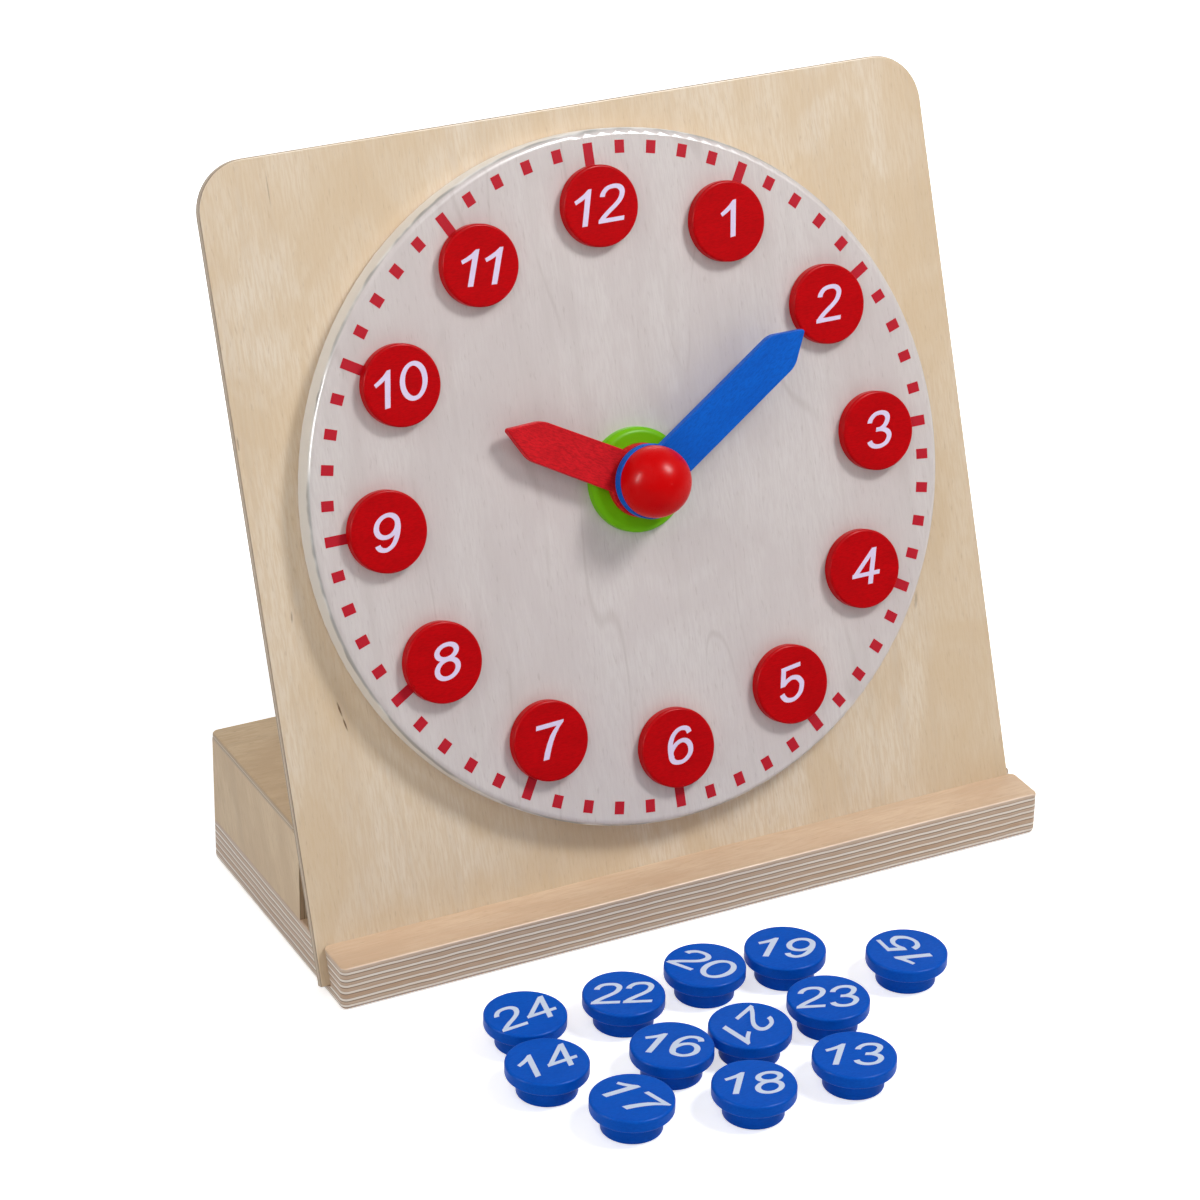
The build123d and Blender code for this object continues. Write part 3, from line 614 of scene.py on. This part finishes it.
def stroke_mesh(path, kind, extra):
    """Closed flat solid of one stroke or outline, deeper by the extra at both faces."""
    solid = bmesh.new()
    low, high = -extra, DIGIT_SOLID_DEPTH + extra
    if kind == OUTLINE:
        under, over = [[solid.verts.new((p.x, p.y, z)) for p in path] for z in (low, high)]
        solid.faces.new(over)
        solid.faces.new(under[::-1])
        for i in range(len(path)):
            solid.faces.new((under[i - 1], under[i], over[i], over[i - 1]))
    else:
        edges = pen_edges(path, kind == LOOP)
        rings = [[solid.verts.new((p.x, p.y, z)) for p in edge] for z in (low, high) for edge in edges]
        left_low, right_low, left_high, right_high = rings
        count = len(path)
        for i in range(count if kind == LOOP else count - 1):
            j = (i + 1) % count
            solid.faces.new((left_high[i], left_high[j], right_high[j], right_high[i]))
            solid.faces.new((left_low[i], right_low[i], right_low[j], left_low[j]))
            solid.faces.new((left_low[i], left_low[j], left_high[j], left_high[i]))
            solid.faces.new((right_low[i], right_high[i], right_high[j], right_low[j]))
        if kind == OPEN:
            for end in (0, count - 1):
                solid.faces.new((left_low[end], left_high[end], right_high[end], right_low[end]))
    bmesh.ops.recalc_face_normals(solid, faces=solid.faces)
    mesh = bpy.data.meshes.new("stroke")
    solid.to_mesh(mesh)
    solid.free()
    return mesh


def flat(mesh):
    """The mesh with every vertex on the printed layer's lower or upper level."""
    middle = DIGIT_SOLID_DEPTH / 2
    for vertex in mesh.vertices:
        vertex.co.z = DIGIT_SOLID_DEPTH if vertex.co.z > middle else 0.0
    return mesh


def digit_mesh(digit):
    """One closed solid for a digit, its strokes united."""
    made = []
    for index, (path, kind) in enumerate(DIGITS[digit]):
        stroke = bpy.data.objects.new("stroke", stroke_mesh(path, kind, STROKE_STEP * index))
        bpy.context.scene.collection.objects.link(stroke)
        made.append(stroke)
    first = made[0]
    for other in made[1:]:
        union = first.modifiers.new("union", "BOOLEAN")
        union.operation = "UNION"
        union.solver = "EXACT"
        union.object = other
    bpy.context.view_layer.update()
    mesh = bpy.data.meshes.new_from_object(first.evaluated_get(bpy.context.evaluated_depsgraph_get()))
    for stroke in made:
        bpy.data.objects.remove(stroke)
    return flat(mesh)


digit_meshes = {digit: digit_mesh(digit) for digit in DIGITS}


def add_number(text, name, body, place, material):
    """Printed number centred on a place, its layer standing just clear of the surface."""
    joined = bmesh.new()
    shift = 0.0
    for digit in text:
        start = len(joined.verts)
        joined.from_mesh(digit_meshes[digit])
        joined.verts.ensure_lookup_table()
        for vertex in joined.verts[start:]:
            vertex.co.x += shift
        shift += DIGIT_ADVANCE - DIGIT_KERN.get(text, 0.0)
    xs = [vertex.co.x for vertex in joined.verts]
    ys = [vertex.co.y for vertex in joined.verts]
    middle = ((min(xs) + max(xs)) / 2, (min(ys) + max(ys)) / 2)
    for vertex in joined.verts:
        x, y = vertex.co.x - middle[0], vertex.co.y - middle[1]
        level = PRINT_GAP + PRINT_THICK * vertex.co.z / DIGIT_SOLID_DEPTH
        vertex.co = ((x + y * DIGIT_SLANT) * DIGIT_HEIGHT, y * DIGIT_HEIGHT, level)
    bmesh.ops.transform(joined, matrix=place, verts=joined.verts)
    mesh = bpy.data.meshes.new(name)
    joined.to_mesh(mesh)
    joined.free()
    mesh.materials.append(material)
    number = bpy.data.objects.new(name, mesh)
    bpy.context.scene.collection.objects.link(number)
    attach(number, body)
    return number


for hour, (right, up, turn) in HOUR_PRINTS.items():
    angle = math.radians(90 - HOUR_STEP * hour)
    spot = dial_place(PEG_RING * math.cos(angle) + right * MM, PEG_RING * math.sin(angle) + up * MM, PEG_HEAD)
    spot = spot @ Matrix.Rotation(math.radians(turn), 4, "Z")
    add_number(str(hour), f"number_{hour}", f"red_peg_{hour}_body", spot, materials["print_red"])

for number, turn in LOOSE_TURNS.items():
    low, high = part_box(f"blue_peg_{number}")
    spot = Matrix.Translation(((low.x + high.x) / 2, (low.y + high.y) / 2, high.z))
    spot = spot @ Matrix.Rotation(-math.radians(turn), 4, "Z")
    body = f"blue_peg_{number}_body"
    piece = add_number(str(number), f"number_{number}", body, spot, materials["print_blue"])


# ---------------------------------------------------------------- minute ticks
def add_ticks():
    """Sixty printed ticks in one piece, a longer one at each hour."""
    ticks = bmesh.new()
    for minute in range(60):
        length = TICK_SHORT if minute % 5 else TICK_LONG
        spin = Matrix.Rotation(-math.radians(MINUTE_STEP * minute), 4, "Z")
        middle = Matrix.Translation((0, TICK_OUTER - length / 2, PRINT_GAP + PRINT_THICK / 2))
        scale = Matrix.Diagonal((TICK_WIDTH, length, PRINT_THICK, 1))
        bmesh.ops.create_cube(ticks, size=1, matrix=dial_place(0, 0, 0) @ spin @ middle @ scale)
    mesh = bpy.data.meshes.new("minute_ticks")
    ticks.to_mesh(mesh)
    ticks.free()
    mesh.materials.append(materials["tick"])
    piece = bpy.data.objects.new("minute_ticks", mesh)
    bpy.context.scene.collection.objects.link(piece)
    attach(piece, "stand")


add_ticks()


# ---------------------------------------------------------------- floor, world and lamps
# The floor lies just below the part. Its glow rises with the distance from the part, in metres.
FLOOR_SIZE = 8.0
FLOOR_DROP = 0.0002
FLOOR_GREY = (0.86, 0.86, 0.86, 1)
FLOOR_ROUGH = 0.9
GLOW_NEAR, GLOW_FAR = 0.60, 0.90
GLOW_FROM, GLOW_TO = 0.6, 2.2
WORLD_WHITE = (1, 1, 1, 1)
WORLD_LIGHT = 0.21


def seen_ray(tree):
    """One for a ray from the camera or one that a glossy or clear surface sends on, and else nought."""
    path = tree.nodes.new("ShaderNodeLightPath")
    seen = path.outputs["Is Camera Ray"]
    for ray in ("Is Glossy Ray", "Is Transmission Ray"):
        either = tree.nodes.new("ShaderNodeMath")
        either.operation = "MAXIMUM"
        tree.links.new(seen, either.inputs[0])
        tree.links.new(path.outputs[ray], either.inputs[1])
        seen = either.outputs[0]
    return seen


def add_floor():
    """White floor, which glows a little for a ray that sees it."""
    mesh = bpy.data.meshes.new("floor")
    shape = bmesh.new()
    bmesh.ops.create_grid(shape, x_segments=1, y_segments=1, size=FLOOR_SIZE / 2)
    shape.to_mesh(mesh)
    shape.free()
    floor = bpy.data.objects.new("floor", mesh)
    floor.location.z = -FLOOR_DROP
    bpy.context.scene.collection.objects.link(floor)
    shade = Shade("floor_white")
    tree = shade.tree
    shade.shader.inputs["Base Color"].default_value = FLOOR_GREY
    shade.shader.inputs["Roughness"].default_value = FLOOR_ROUGH
    shade.shader.inputs["Specular IOR Level"].default_value = 0.0
    glow = shade.node("ShaderNodeEmission")
    away = shade.node("ShaderNodeVectorMath", operation="LENGTH")
    shade.put(away.inputs[0], shade.place)
    strength = shade.ramp(away.outputs["Value"], GLOW_FROM, GLOW_TO, GLOW_NEAR, GLOW_FAR)
    shade.put(glow.inputs["Strength"], shade.math("MULTIPLY", seen_ray(tree), strength))
    both = shade.node("ShaderNodeAddShader")
    tree.links.new(shade.shader.outputs[0], both.inputs[0])
    tree.links.new(glow.outputs[0], both.inputs[1])
    tree.links.new(both.outputs[0], tree.nodes["Material Output"].inputs["Surface"])
    mesh.materials.append(shade.material)
    floor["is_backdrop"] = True


def add_world():
    """White surroundings, which light the part less than they show."""
    world = bpy.data.worlds.new("studio")
    bpy.context.scene.world = world
    world.use_nodes = True
    tree = world.node_tree
    strength = tree.nodes.new("ShaderNodeMapRange")
    strength.inputs["To Min"].default_value = WORLD_LIGHT
    strength.inputs["To Max"].default_value = 1.0
    tree.links.new(seen_ray(tree), strength.inputs["Value"])
    background = tree.nodes["Background"]
    background.inputs["Color"].default_value = WORLD_WHITE
    tree.links.new(strength.outputs["Result"], background.inputs["Strength"])


LAMP_AIM = Vector((0, 0, 0.15))
# Name, place, size, watts, and whether it lights surfaces and shows in their gloss
LAMPS = (
    ("key_right", (0.72, -0.77, 1.50), (0.42, 0.42), 16.0, True, False),
    ("fill_left", (-1.03, -0.97, 1.27), (1.3, 1.3), 6.7, True, False),
    ("fill_back", (0.35, 1.45, 1.10), (1.2, 1.2), 9.0, True, False),
    ("strip_left", (-1.45, 0.02, 0.72), (0.12, 0.9), 1.9, True, True),
    ("strip_top", (-0.50, -0.10, 1.20), (1.0, 0.12), 1.4, True, True),
    ("gleam_right", (0.72, -0.77, 1.50), (0.42, 0.60), 80.0, False, True),
    ("gleam_left", (-1.45, 0.02, 0.78), (0.07, 0.60), 34.0, False, True),
)


def add_lamps():
    """Area lamps, all turned to the same point of the part."""
    for name, place, size, power, on_surface, in_gloss in LAMPS:
        data = bpy.data.lights.new(name, "AREA")
        data.shape = "RECTANGLE"
        data.size, data.size_y = size
        data.energy = power
        lamp = bpy.data.objects.new(name, data)
        lamp.visible_diffuse = on_surface
        lamp.visible_glossy = in_gloss
        lamp.location = place
        lamp.rotation_mode = "QUATERNION"
        lamp.rotation_quaternion = (LAMP_AIM - Vector(place)).to_track_quat("-Z", "Y")
        bpy.context.scene.collection.objects.link(lamp)


add_floor()
add_world()
add_lamps()
bpy.context.scene.view_settings.view_transform = "Standard"

low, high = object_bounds()
